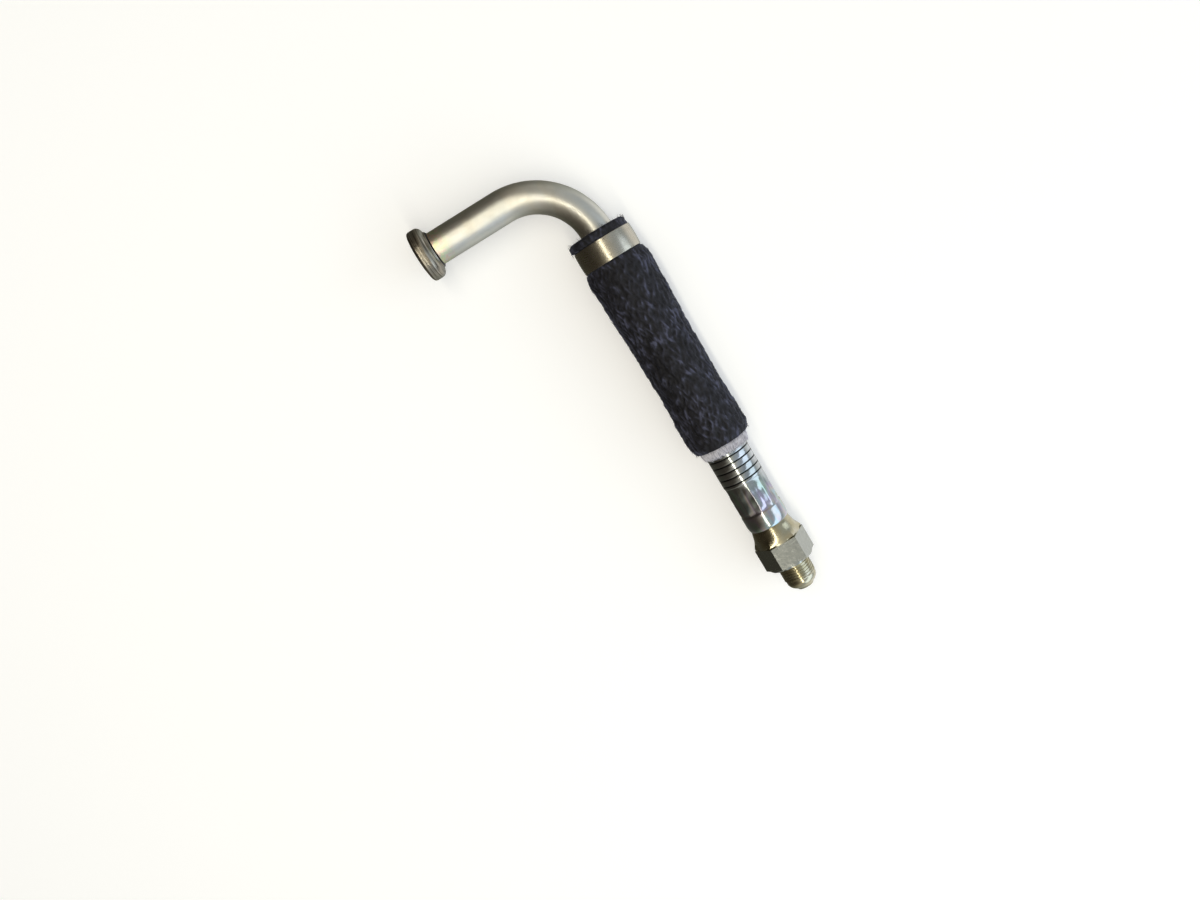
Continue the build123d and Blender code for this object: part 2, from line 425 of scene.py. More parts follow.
def pipe_zinc():
    """Zinc plate with a pale yellow chromate on drawn tube: satin, warm, with a heat-tinted end."""
    material = metal(
        "pipe_zinc_pale_chromate",
        ((0.25, "#CCCAC2"), (0.5, "#D8D6CE"), (0.75, "#DEDDD8")),
        (0.34, 0.44), grain=(1, 0.08, 1), grain_mm=0.35, grain_depth=0.003,
        film=(14.0, ((0.3, "#D9D6C6"), (0.45, "#DFD8C0"), (0.55, "#D2D6CC"), (0.7, "#DCD0CA")), 0.25),
    )
    # next to the flange the passivate film is thicker and breaks into faint yellow, green and pink
    tree, colour, plain = colour_input(material)
    place = place_of(tree)
    near = spread(tree, part_of(tree, place, "Y"), 0.0, 0.85, HEAD_HIGH.y + 11 * MM, HEAD_HIGH.y)
    tint = ramp(
        tree, noise(tree, place, 3.2, 3.0, 0.5),
        ((0.34, "#E6E0A8"), (0.43, "#C6DCA8"), (0.5, "#E8DEC0"), (0.57, "#E6BFA6"), (0.66, "#D8DCD0")),
    )
    tree.links.new(mixed(tree, near, plain, tint), colour)
    return material


def flange_zinc():
    """Turned steel, zinc plated: grey-brown with fine rings left by the tool."""
    material = metal(
        "flange_zinc_turned",
        ((0.3, "#A39C8E"), (0.5, "#B5AFA2"), (0.7, "#C2BFB4")),
        (0.28, 0.4), grain=(0.02, 1, 0.02), grain_mm=0.7, grain_depth=0.07,
    )
    tree, colour, plain = colour_input(material)
    rings = noise(tree, place_of(tree, (0.02, 1, 0.02)), 0.55, 2.0, 0.7)
    dulled = ramp(tree, rings, ((0.4, "#6E675C"), (0.52, "#E4E2DC"), (0.62, "#FFFFFF")))
    tree.links.new(mixed(tree, 0.75, plain, dulled, "MULTIPLY"), colour)
    return material


def ferrule_zinc():
    """Bright zinc plate with a blue passivate over a crimped shell, tinted where it was squeezed."""
    material = metal(
        "ferrule_zinc_blue",
        ((0.3, "#A6ABAA"), (0.5, "#B8BCBC"), (0.7, "#C4C8CC")),
        (0.14, 0.22), grain=(0.1, 1, 1), grain_mm=0.5, grain_depth=0.002,
    )
    tree, colour, plain = colour_input(material)
    # thin-film colours of the passivate, strongest where the jaws pressed
    bands = noise(tree, place_of(tree, (0.3, 1, 1)), 8.0, 2.0, 0.4)
    film = ramp(tree, bands, (
        (0.34, "#9CCBAE"), (0.43, "#B4BEC4"), (0.49, "#C8B2DC"),
        (0.54, "#D2C4BE"), (0.6, "#A4CCDC"), (0.68, "#D0D4A4"),
    ))
    along = part_of(tree, place_of(tree), "X")
    crimp_start = FERRULE_HIGH.x - CRIMP_LENGTH
    tinted = mixed(tree, spread(tree, along, 0.04, 0.42, crimp_start, crimp_start + 7 * MM), plain, film)
    # painted shade in the grooves: the floor of each groove is darkened to near black
    for step in range(GROOVE_COUNT):
        groove = FERRULE_HIGH.x - FIRST_GROOVE - step * GROOVE_PITCH
        away = calc(tree, "ABSOLUTE", calc(tree, "SUBTRACT", along, groove))
        groove_shade = spread(tree, away, 0.95, 0.0, 0.28 * MM, 0.5 * MM)
        tinted = mixed(tree, groove_shade, tinted, linear("#0B0D10"))
    tree.links.new(tinted, colour)
    return material


def fitting_zinc(hex_start, hex_end):
    """Turned bar with a yellow chromate: olive-gold where it is turned, grey on the drawn flats."""
    material = metal(
        "fitting_zinc_yellow_chromate",
        ((0.3, "#B0A88A"), (0.5, "#BFB89C"), (0.7, "#CCC8B8")),
        (0.18, 0.28), grain=(1, 0.1, 0.1), grain_mm=0.4, grain_depth=0.004,
    )
    tree, colour, gold = colour_input(material)
    along = part_of(tree, place_of(tree), "X")
    after_start = spread(tree, along, 0.0, 1.0, hex_start - 0.3 * MM, hex_start + 0.3 * MM)
    before_end = spread(tree, along, 0.0, 1.0, hex_end + 0.1 * MM, hex_end - 0.2 * MM)
    inside = calc(tree, "MULTIPLY", after_start, before_end)
    scale_marks = noise(tree, place_of(tree, (0.25, 1, 1)), 0.9, 4.0, 0.6)
    grey = ramp(tree, scale_marks, ((0.3, "#A6A8A0"), (0.5, "#AEB0A8"), (0.7, "#B4B6AE")))
    tree.links.new(mixed(tree, inside, gold, grey), colour)
    return material


def band_zinc():
    """Rolled steel strip with a yellow chromate: smooth, olive, glossy."""
    return metal(
        "band_steel_rolled",
        ((0.3, "#B4AE9C"), (0.5, "#BEB8A8"), (0.7, "#C6C1B4")),
        (0.24, 0.3), grain=(1, 0.1, 0.1), grain_mm=0.3, grain_depth=0.001,
    )


def braze_painted_shade():
    """Brass braze fillet, rough as it flowed, painted near black as the shade in the gap where it sits."""
    return metal(
        "braze_fillet",
        ((0.35, "#14121A"), (0.55, "#2A2624"), (0.75, "#4A4030")),
        (0.35, 0.55), grain_mm=0.5, grain_depth=0.05, patch_mm=2.5,
    )


def stem_steel():
    """Turned stem, plated: like the fitting but greyer."""
    return metal(
        "stem_steel_turned",
        ((0.3, "#8D8B84"), (0.5, "#A6A49C"), (0.7, "#B6B5AE")),
        (0.25, 0.35), grain=(1, 0.1, 0.1), grain_mm=0.4, grain_depth=0.006,
    )


def moulded_rubber():
    """Moulded nitrile seal: near black, soft sheen, faint bloom."""
    material, tree = new_material("seal_nitrile_moulded")
    place = place_of(tree)
    bloom = noise(tree, place, 3.0, 4.0, 0.6)
    fine = noise(tree, place, 0.25, 3.0, 0.6)
    surface(tree, {
        "Base Color": ramp(tree, bloom, ((0.35, "#0E0E10"), (0.7, "#1E1E21"))),
        "Roughness": spread(tree, bloom, 0.45, 0.62), "IOR": 1.52,
        "Normal": bumped(tree, fine, 0.02),
    })
    return material


def rest_place(tree):
    """The stored rest place of a soft piece, counted from the sleeve's mouth."""
    stored = add(tree, "ShaderNodeAttribute", attribute_name="rest")
    moved = add(
        tree, "ShaderNodeVectorMath", {0: stored.outputs["Vector"], 1: tuple(MOUTH)}, operation="SUBTRACT"
    )
    return moved.outputs[0]


def around(tree, place):
    """Angle round the hose axis as turns, and distance along it in metres."""
    angle = calc(tree, "ARCTAN2", part_of(tree, place, "Z"), part_of(tree, place, "Y"))
    return calc(tree, "DIVIDE", angle, math.tau), part_of(tree, place, "X")


def wire_braid():
    """Brass-coated steel wire braid: crossing strands at the neutral braid angle."""
    material, tree = new_material("braid_wire_brassed")
    turns, along = around(tree, rest_place(tree))
    strands, lay, waves = 24.0, 40 * MM, []
    for way in (1, -1):
        swing = calc(tree, "MULTIPLY", turns, strands)
        climb = calc(tree, "MULTIPLY", along, way * strands / lay)
        waves.append(calc(tree, "PINGPONG", calc(tree, "ADD", swing, climb), 1.0))
    crossing = calc(tree, "MAXIMUM", *waves)
    colour = ramp(tree, crossing, ((0.45, "#3E3420"), (0.75, "#A38C55"), (1.0, "#C9B887")))
    surface(tree, {
        "Base Color": colour, "Metallic": 1.0, "Roughness": 0.35,
        "Normal": bumped(tree, crossing, 0.2),
    })
    return material


def cover_rubber():
    """Hose cover cured under a wrapped cloth: black rubber with the cloth's weave pressed in."""
    material, tree = new_material("cover_rubber_cloth_marked")
    place = rest_place(tree)
    turns, along = around(tree, place)
    threads = [
        calc(tree, "PINGPONG", calc(tree, "MULTIPLY", value, count), 0.5)
        for value, count in ((turns, 70.0), (along, 1 / (0.95 * MM)))
    ]
    weave = calc(tree, "MULTIPLY", *threads)
    bloom = noise(tree, place, 4.0, 4.0, 0.6)
    surface(tree, {
        "Base Color": ramp(tree, bloom, ((0.35, "#17171A"), (0.7, "#242427"))),
        "Roughness": 0.6, "Normal": bumped(tree, weave, 0.3),
    })
    return material


def bending_rubber():
    """Extruded nitrile tube: black, faintly shiny, with die lines along it."""
    material, tree = new_material("hose_rubber_extruded")
    place = rest_place(tree)
    lines = noise(tree, stretched(tree, place, (0.04, 1, 1)), 0.4)
    surface(tree, {
        "Base Color": ramp(tree, lines, ((0.3, "#121214"), (0.7, "#1F1F22"))),
        "Roughness": 0.5, "Normal": bumped(tree, lines, 0.03),
    })
    return material


def sleeve_felt():
    """Black felted textile: matt near-black ground with its own mottling, and painted bluish sheen that
    lightens the tops of its tufts.
    """
    material, tree = new_material("sleeve_textile_felted")
    place = rest_place(tree)
    lengthwise = stretched(tree, place, (0.3, 1, 1))
    mottles = noise(tree, lengthwise, 5.5, 3.0, 0.55)
    fibres = noise(tree, lengthwise, 0.45, 3.0, 0.7)
    tuft = add(tree, "ShaderNodeAttribute", attribute_name="tuft").outputs["Fac"]
    shade = calc(tree, "MULTIPLY", tuft, spread(tree, mottles, 0.5, 1.4))
    grain = calc(tree, "ADD", shade, spread(tree, fibres, -0.12, 0.12))
    # painted sheen: higher tuft values turn lighter and bluer; the mottles and fibres are the textile's own
    # tone
    colour = ramp(
        tree, grain,
        ((0.1, "#09080A"), (0.32, "#121115"), (0.5, "#1C1C23"), (0.68, "#2C2D39"), (0.9, "#45475A")),
    )
    surface(tree, {
        "Base Color": colour, "Roughness": spread(tree, fibres, 0.6, 0.8), "IOR": 1.45,
        "Sheen Weight": 0.25, "Sheen Roughness": 0.4, "Sheen Tint": linear("#8A90B4"),
        "Normal": bumped(tree, fibres, 0.2),
    })
    return material


def glass_fibre():
    """Braided glass fibre: white with a silky gloss, with painted grey shade between the strands."""
    material, tree = new_material("glass_textile_braided")
    place = rest_place(tree)
    lengthwise = stretched(tree, place, (0.12, 1, 1))
    strands = noise(tree, lengthwise, 0.55, 3.0, 0.6)
    # painted shade: where the strand noise is low the fibre goes grey
    surface(tree, {
        "Base Color": ramp(tree, strands, ((0.3, "#8E8C93"), (0.45, "#C9C7D0"), (0.62, "#EDEBF0"))),
        "Roughness": 0.45, "IOR": 1.52, "Sheen Weight": 0.2, "Normal": bumped(tree, strands, 0.2),
    })
    return material


# ---- settings a user would change -----------------------------------------------------------
class HoseSizes(PropertyGroup):
    """Sizes of the visible pieces that the frame doesn't give."""

    bend_radius: FloatProperty(
        name="Bend radius", description="Centreline radius of the pipe's bend",
        default=38.1 * MM, unit="LENGTH", precision=4,
    )
    bend_ovality: FloatProperty(
        name="Bend ovality", description="Share by which the pipe flattens in the middle of its bend",
        default=0.05, min=0.0, max=0.1,
    )
    pipe_wall: FloatProperty(
        name="Pipe wall", description="Wall thickness of the pipe",
        default=1.65 * MM, unit="LENGTH", precision=5,
    )
    hex_length: FloatProperty(
        name="Hexagon length", description="Length of the hexagon",
        default=15.1 * MM, unit="LENGTH", precision=4,
    )
    thread_pitch: FloatProperty(
        name="Thread pitch", description="Pitch of the stud's thread, 16 to the inch",
        default=25.4 / 16 * MM, unit="LENGTH", precision=5,
    )
    thread_depth: FloatProperty(
        name="Thread depth", description="Depth of the stud's thread",
        default=0.5 * MM, unit="LENGTH", precision=5,
    )
    nap_hairs: IntProperty(
        name="Nap hairs", description="Number of loose hairs on the sleeve", default=5200, min=0,
    )
    fringe_strands: IntProperty(
        name="Fringe strands", description="Number of frayed strands at the sleeve's end", default=620, min=0,
    )


class HoseColours(PropertyGroup):
    """Colours of the light."""

    lamp: FloatVectorProperty(
        name="Lamp", description="Colour of the lamp overhead", subtype="COLOR", default=(1.0, 0.94, 0.8),
    )
    window: FloatVectorProperty(
        name="Window", description="Colour of the light from the side",
        subtype="COLOR", default=(0.75, 0.86, 1.0),
    )


# ---- operators --------------------------------------------------------------------------------
class HOSE_OT_stage(Operator):
    """Add the floor, the lights and the camera"""

    bl_idname = "hose.stage"
    bl_label = "Stage"

    def execute(self, context):
        colours = context.scene.hose_colours
        bpy.ops.object.select_all(action="DESELECT")
        bpy.ops.mesh.primitive_plane_add(size=6.0, location=(0, 0, CAD_BOX[0].z - 0.0002))
        floor = context.object
        floor.name = "studio_floor"
        material, tree = new_material("studio_floor_paper")
        surface(tree, {
            "Base Color": linear("#E9E8E4"), "Roughness": 0.9,
            "Emission Color": linear("#FFFFFF"), "Emission Strength": 0.3,
        })
        floor.data.materials.append(material)
        floor.visible_glossy = False

        middle = (CAD_BOX[0] + CAD_BOX[1]) / 2
        right = Vector((0.51, 0.86, 0))
        strip_place = Vector((0.12, MOUTH.y - middle.y - 0.17, 0.93))
        window_place = right * 0.9 + Vector((0.2, 0, 0.52))
        for name, place, size, watts, colour, aimed, glossy in (
            ("lamp_strip", strip_place, (1.7, 0.08), 3.6, colours.lamp, False, True),
            ("window_side", window_place, (2.0, 0.75), 7.2, colours.window, True, True),
            ("fill_high", Vector((-0.2, -0.3, 1.4)), (1.6, 1.6), 6.5, (1.0, 0.985, 0.96), True, False),
        ):
            bpy.ops.object.light_add(type="AREA", location=middle + place)
            lamp = context.object
            lamp.name = name
            lamp.data.shape = "RECTANGLE"
            lamp.data.size, lamp.data.size_y = size
            lamp.data.energy = watts
            lamp.data.color = colour
            if aimed:
                lamp.rotation_euler = (-place).to_track_quat("-Z", "Y").to_euler()
            lamp.visible_glossy = glossy

        # a studio that is dark to the left and light to the right, so that metal has both in it
        world = bpy.data.worlds.new("studio_world")
        world.use_nodes = True
        tree = world.node_tree
        tree.nodes.clear()
        heading = add(tree, "ShaderNodeTexCoord").outputs["Generated"]
        across = add(tree, "ShaderNodeVectorMath", {0: heading, 1: tuple(right)}, operation="DOT_PRODUCT")
        place = spread(tree, across.outputs["Value"], 0.0, 1.0, -1.0, 1.0)
        upper = ramp(tree, place, (
            (0.0, "#2E2A25"), (0.25, "#4A443C"), (0.4, "#9A9488"), (0.53, "#BCB8AE"),
            (0.68, "#B4BAC0"), (0.85, "#A2AAB2"), (1.0, "#9098A0"),
        ))
        lower = ramp(tree, place, (
            (0.0, "#3A352C"), (0.25, "#47463E"), (0.5, "#7C7A70"),
            (0.68, "#B8BEBA"), (0.78, "#FFFFFF"), (0.92, "#FFFFFF"), (1.0, "#D8DEDC"),
        ))
        above = spread(tree, part_of(tree, heading, "Z"), 0.0, 1.0, -0.25, 0.15)
        tones = mixed(tree, above, lower, upper)
        background = add(tree, "ShaderNodeBackground", {"Color": tones, "Strength": 1.0})
        add(tree, "ShaderNodeOutputWorld", {"Surface": background.outputs[0]})
        context.scene.world = world
        context.scene.view_settings.view_transform = "Standard"

        camera_data = bpy.data.cameras.new("camera")
        camera_data.lens, camera_data.sensor_width = 30.0, 36.0
        camera_data.clip_start = 0.01
        camera = bpy.data.objects.new("camera", camera_data)
        context.scene.collection.objects.link(camera)
        camera.location = MOUTH + Vector((31.88, -22.03, 560.65)) * MM
        camera.rotation_euler = [math.radians(a) for a in (-8.396, -0.431, 58.84)]
        context.scene.camera = camera
        return {"FINISHED"}


def draw_ring(name, centre, radius, segments):
    """A circle across the leg axis, to be drawn out into the pipe."""
    bpy.ops.object.select_all(action="DESELECT")
    bpy.ops.mesh.primitive_circle_add(
        vertices=segments, radius=radius, location=centre, rotation=(math.pi / 2, 0, 0)
    )
    piece = settled(name)
    return piece


def draw_out(step, times):
    """Extrude the selected ring by a step, several times."""
    for _ in range(times):
        bpy.ops.mesh.extrude_region_move(TRANSFORM_OT_translate={"value": tuple(step)})


class HOSE_OT_pipe(Operator):
    """Add the bent pipe"""

    bl_idname = "hose.pipe"
    bl_label = "Bent pipe"

    def execute(self, context):
        sizes = context.scene.hose_sizes
        radius = sizes.bend_radius
        bend_centre = CORNER + Vector((radius, -radius, 0))
        straight, tail = bend_centre.y - PIPE_LOW.y, PIPE_HIGH.x - bend_centre.x
        leg_steps, bend_steps, tail_steps = 6, 40, 2
        piece = draw_ring("pipe", (CORNER.x, PIPE_LOW.y, CORNER.z), PIPE_RADIUS, 96)
        edit(piece)
        bpy.ops.mesh.select_all(action="SELECT")
        draw_out((0, straight / leg_steps, 0), leg_steps)
        for _ in range(bend_steps):
            draw_out((0, 0, 0), 1)
            bpy.ops.transform.rotate(
                value=math.pi / 2 / bend_steps, orient_axis="Z", center_override=tuple(bend_centre)
            )
        draw_out((tail / tail_steps, 0, 0), tail_steps)
        close_edit()
        flatten_bend(piece, bend_centre, radius, sizes.bend_ovality)
        finish_with(piece, "SOLIDIFY", thickness=sizes.pipe_wall, offset=-1.0)
        smooth(piece)
        dress(piece, pipe_zinc(), PIPE_BODY, "bent_pipe")
        return {"FINISHED"}


def flatten_bend(piece, centre, radius, share):
    """Draw the pipe in towards its centreline, in the plane of the bend, most at mid-bend."""
    for vert in piece.data.vertices:
        out = Vector((centre.x - vert.co.x, vert.co.y - centre.y))
        if out.x <= 0 or out.y <= 0:
            continue
        strength = share * math.sin(2 * math.atan2(out.y, out.x)) ** 0.8
        off = out.length - radius
        out *= (radius + off * (1 - strength)) / out.length
        vert.co.x, vert.co.y = centre.x - out.x, centre.y + out.y
        vert.co.z = centre.z + (vert.co.z - centre.z) * (1 + strength * 0.3)


class HOSE_OT_flange(Operator):
    """Add the flange head, and finish its braze and seal"""

    bl_idname = "hose.flange"
    bl_label = "Flange head"

    def execute(self, context):
        radius = (HEAD_HIGH.x - HEAD_LOW.x) / 2
        face = CORNER.y - HEAD_LOW.y
        bore = MOUNTS["flange_port"]["dims"]["r_mm"] * MM
        hub_end = CORNER.y - HEAD_HIGH.y
        seat = CORNER.y - PIPE_LOW.y
        back = hub_end + 1.2 * MM
        groove = (9.335 * MM, 12.965 * MM)
        shoulder, rim_round = 3.4 * MM, 1.7 * MM
        outline = [
            (face, bore), (face, groove[0]), (face - 3.15 * MM, groove[0]), (face - 3.15 * MM, groove[1]),
            (face, groove[1]),
            *reversed(arc((face - rim_round, radius - rim_round), rim_round, 90, 0, 8)),
            (back + shoulder + 1.2 * MM, radius),
        ]
        outline += arc((back + shoulder, radius - shoulder), shoulder, 95, 178, 12)
        # hollow neck behind the rounded back, then the countersink round the pipe
        outline += [
            (back - 0.1 * MM, 11.35 * MM), (back - 0.45 * MM, 11.05 * MM), (hub_end + 0.15 * MM, 10.9 * MM),
            (hub_end, 10.75 * MM), (hub_end + 1.1 * MM, PIPE_RADIUS + 0.06 * MM),
            (seat + 0.04 * MM, PIPE_RADIUS + 0.06 * MM), (seat + 0.04 * MM, bore),
        ]
        piece = turn("flange", outline, axis="Y", segments=144)
        soften(piece, 0.12 * MM, 2, 20)
        dress(piece, flange_zinc(), PIPE_BODY, "flange_head")
        # the braze rings get painted shade: near black, like the dark gap they sit in
        for node, material in (
            ("flange_braze_ring", braze_painted_shade()),
            ("stem_braze_ring", braze_painted_shade()),
            ("flange_oring", moulded_rubber()),
        ):
            paint_node(node, material)
        return {"FINISHED"}


class HOSE_OT_inner_parts(Operator):
    """Add the layers of the hose, and finish the stem and the hidden ferrule"""

    bl_idname = "hose.inner_parts"
    bl_label = "Hose layers"

    def execute(self, context):
        braid = wire_braid()
        tube_rubber = bending_rubber()
        for node, material, slot in (
            ("hose_liner", tube_rubber, "hose_rubber"),
            ("inner_wire_braid", braid, "braid_wire"),
            ("hose_mid_rubber", tube_rubber, "hose_rubber"),
            ("outer_wire_braid", braid, "braid_wire"),
            ("hose_cover", cover_rubber(), "cover_rubber"),
        ):
            self.add_layer(node, material, slot)
        paint_node("pipe_hose_stem", stem_steel())
        paint_node("pipe_end_ferrule", ferrule_zinc())
        return {"FINISHED"}

    def add_layer(self, node, material, slot):
        """One tube the size of its CAD node."""
        low, high = corners_of(node)
        outer = (high.z - low.z) / 2
        inner = min(
            math.hypot(vert.co.y - MOUTH.y, vert.co.z - MOUTH.z)
            for vert in frame["nodes"][node].data.vertices
        )
        start, end, rings = low.x - MOUTH.x, high.x - MOUTH.x, 36
        stations = [start + (end - start) * i / rings for i in range(rings + 1)]
        outline = [(s, outer) for s in stations] + [(s, inner) for s in reversed(stations)]
        piece = turn(node + "_layer", outline, segments=48)
        soften(piece, 0.08 * MM, 1, 40)
        keep_rest_place(piece)
        dress(piece, material, None, node)
        bend_with_hose(piece)


SLEEVE_OUTLINE = cad_outline("sleeve_jacket", MOUTH, 15.9 * MM)
SLEEVE_MEAN_RADIUS = 17.5 * MM
TUFT_LENGTH, TUFT_WIDTH, TUFT_DEPTH = 4.6 * MM, 1.6 * MM, 1.2 * MM
TUFT_LEAN = math.tan(math.radians(17))
SLACK_LENGTH, SLACK_DEPTH = 21 * MM, 0.55 * MM


def smooth_radius(outline, station):
    """Radius of an outline at a station, eased between its points."""
    for (s0, r0), (s1, r1) in zip(outline, outline[1:]):
        if s0 <= station <= s1 and s1 > s0:
            return r0 + (r1 - r0) * ease((station - s0) / (s1 - s0))
    return outline[0][1] if station < outline[0][0] else outline[-1][1]


def tuft_height(station, angle):
    """Height of the felt at a place, 0 to 1: two crossing helical sets of soft tufts."""
    heights = []
    for way in (1, -1):
        turned = angle + way * station * TUFT_LEAN / SLEEVE_MEAN_RADIUS
        round_way = SLEEVE_MEAN_RADIUS / TUFT_WIDTH
        place = Vector((
            station / TUFT_LENGTH + 31.7 * way, math.cos(turned) * round_way, math.sin(turned) * round_way
        ))
        heights.append(turbulence.noise(place) + 0.35 * turbulence.noise(place * 2.3))
    return min(max(0.35 + 0.75 * max(heights), 0.0), 1.0)


def jacket_surface(station, angle):
    """Radius, sideways shift and tuft height of the sleeve's surface at a place."""
    free = ease((station - (BAND_HIGH.x - MOUTH.x)) / (4 * MM))
    ends = ease((JACKET_HIGH.x - MOUTH.x - station) / (5 * MM))
    slack = turbulence.noise(Vector((station / SLACK_LENGTH, 1.3 * math.cos(angle), 1.3 * math.sin(angle))))
    tuft = tuft_height(station, angle)
    mouth_ring = 1 - ease((station - 3.6 * MM) / (1.4 * MM))
    relief = TUFT_DEPTH * (tuft - 0.45) * (free + 0.35 * mouth_ring)
    radius = smooth_radius(SLEEVE_OUTLINE, station) + relief + SLACK_DEPTH * slack * free * ends
    # the mouth's ring sits a little to one side, and the free sleeve sags to the other
    shift = -0.9 * MM * mouth_ring + 0.35 * MM * free
    return radius, shift, tuft


class HOSE_OT_sleeve(Operator):
    """Add the black heat sleeve and the nap on it"""

    bl_idname = "hose.sleeve"
    bl_label = "Heat sleeve"

    def execute(self, context):
        length = JACKET_HIGH.x - JACKET_LOW.x
        rings, segments = 320, 216
        stations = [length * i / rings for i in range(rings + 1)]
        outline = [(s, smooth_radius(SLEEVE_OUTLINE, s)) for s in stations]
        bore, tail = 15.0 * MM, 13.4 * MM
        inner = [(length - 0.15 * MM, (outline[-1][1] + tail) / 2)]
        inner += [(length - 0.3 * MM, tail), (length - 6 * MM, bore)]
        inner += [(length * i / 12, bore) for i in range(11, -1, -1)]
        piece = turn("sleeve", outline + inner, segments=segments)
        tufts = []
        for vert in piece.data.vertices:
            station, off = off_axis(vert)
            tuft = 0.2
            if off.length > 15.6 * MM:
                radius, shift, tuft = jacket_surface(station, math.atan2(off.y, off.x))
                off *= radius / off.length
                put_off_axis(vert, off, shift)
            tufts.append(tuft)
        piece.data.attributes.new("tuft", "FLOAT", "POINT").data.foreach_set("value", tufts)
        felt = sleeve_felt()
        nap = self.nap(context.scene.hose_sizes.nap_hairs)
        for soft, node in ((piece, "sleeve_jacket"), (nap, None)):
            keep_rest_place(soft)
            only(soft)
            bpy.ops.object.shade_smooth()
            dress(soft, felt, None, node)
            bend_with_hose(soft)
        return {"FINISHED"}

    def nap(self, count):
        """Loose hairs of the felt, lying along the sleeve and lifting a little from it."""
        draw = Random(7)
        model = fibre("nap_hair", 2.8 * MM, 0.14 * MM, -0.2 * MM)
        places = []
        for _ in range(count):
            free_start = BAND_HIGH.x - MOUTH.x + 1.5 * MM
            station = draw.uniform(free_start, JACKET_HIGH.x - MOUTH.x - 1.0 * MM)
            if draw.random() < 0.06:
                station = draw.uniform(0.6 * MM, 3.6 * MM)
            angle = draw.uniform(-math.pi, math.pi)
            radius, shift, _ = jacket_surface(station, angle)
            lean = math.radians(draw.gauss(5, 9)) + (math.pi if draw.random() < 0.5 else 0)
            places.append(
                Matrix.Translation(MOUTH + Vector((station, shift, 0)))
                @ Matrix.Rotation(angle - math.pi / 2, 4, "X")
                @ Matrix.Translation((0, 0, radius - 0.12 * MM))
                @ Matrix.Rotation(lean, 4, "Z")
                @ Matrix.Rotation(-math.radians(abs(draw.gauss(3, 5))), 4, "Y")
                @ Matrix.Diagonal((draw.uniform(0.5, 1.2), 1, 1, 1))
            )
        nap = scattered("sleeve_nap", model, places)
        each = len(nap.data.vertices) // count
        shades = [shade for _ in range(count) for shade in [draw.uniform(0.1, 0.5)] * each]
        nap.data.attributes.new("tuft", "FLOAT", "POINT").data.foreach_set("value", shades)
        return nap


class HOSE_OT_band(Operator):
    """Add the metal band round the sleeve"""

    bl_idname = "hose.band"
    bl_label = "Sleeve band"

    def execute(self, context):
        start, end = BAND_LOW.x - MOUTH.x, BAND_HIGH.x - MOUTH.x
        crown = (BAND_HIGH.z - BAND_LOW.z) / 2
        edge = crown - 0.25 * MM
        thick = 0.6 * MM
        steps = 12
        outline = []
        for i in range(steps + 1):
            t = i / steps
            outline.append((start + (end - start) * t, edge + (crown - edge) * (1 - (2 * t - 1) ** 2)))
        inner = [(s, r - thick) for s, r in reversed(outline)]
        piece = turn("band", outline + inner, segments=128)
        soften(piece, 0.22 * MM, 3, 40)
        dress(piece, band_zinc(), PIPE_BODY, "sleeve_band")
        return {"FINISHED"}


class HOSE_OT_glass(Operator):
    """Add the glass-fibre liner and its frayed end"""

    bl_idname = "hose.glass"
    bl_label = "Glass liner"

    def execute(self, context):
        sizes = context.scene.hose_sizes
        start, end = GLASS_LOW.x - MOUTH.x, GLASS_HIGH.x - MOUTH.x
        bore = 12.74 * MM
        outer = (GLASS_HIGH.z - GLASS_LOW.z) / 2
        bent_in = JACKET_HIGH.x - MOUTH.x - 6 * MM
        rings = 40
        stations = [start + (bent_in - start) * i / rings for i in range(rings + 1)]
        outline = [(s, outer) for s in stations]
        last = end - 2.2 * MM
        outline += [
            (bent_in + 3.0 * MM, 14.3 * MM), (bent_in + 6.0 * MM, 13.75 * MM),
            (bent_in + 8.5 * MM, 13.4 * MM), (last, 13.15 * MM), (last - 0.1 * MM, bore),
        ]
        outline += [(s, bore) for s in reversed(stations)]
        piece = turn("glass_liner", outline, segments=96)
        keep_rest_place(piece)
        smooth(piece)
        glass = glass_fibre()
        dress(piece, glass, None, "sleeve_glass_liner")
        bend_with_hose(piece)
        fringe = self.fringe(sizes.fringe_strands)
        keep_rest_place(fringe)
        only(fringe)
        bpy.ops.object.shade_smooth()
        dress(fringe, glass, FITTING_BODY)
        return {"FINISHED"}

    def fringe(self, count):
        """Frayed strands that come out from under the jacket and lie on the ferrule."""
        draw = Random(11)
        length = 7.4 * MM
        model = fibre("fringe_strand", length, 0.34 * MM, 1.75 * MM)
        start = JACKET_HIGH.x - MOUTH.x - 0.9 * MM
        places = []
        for k in range(count):
            angle = math.tau * k / count + draw.uniform(-0.01, 0.01)
            # the liner hangs out further and stands off more on one side
            side = 0.5 + 0.5 * math.cos(angle - 0.3)
            places.append(
                Matrix.Translation(MOUTH + Vector((start, 0.15 * MM, 0)))
                @ Matrix.Rotation(angle - math.pi / 2, 4, "X")
                @ Matrix.Translation((0, 0, 14.75 * MM + (0.15 + 0.35 * side) * draw.random() * MM))
                @ Matrix.Rotation(math.radians(draw.gauss(0, 7)), 4, "Z")
                @ Matrix.Diagonal((draw.uniform(0.8, 1.0) + 0.05 * side, 1, draw.uniform(0.8, 1.0), 1))
            )
        return scattered("glass_fringe", model, places)


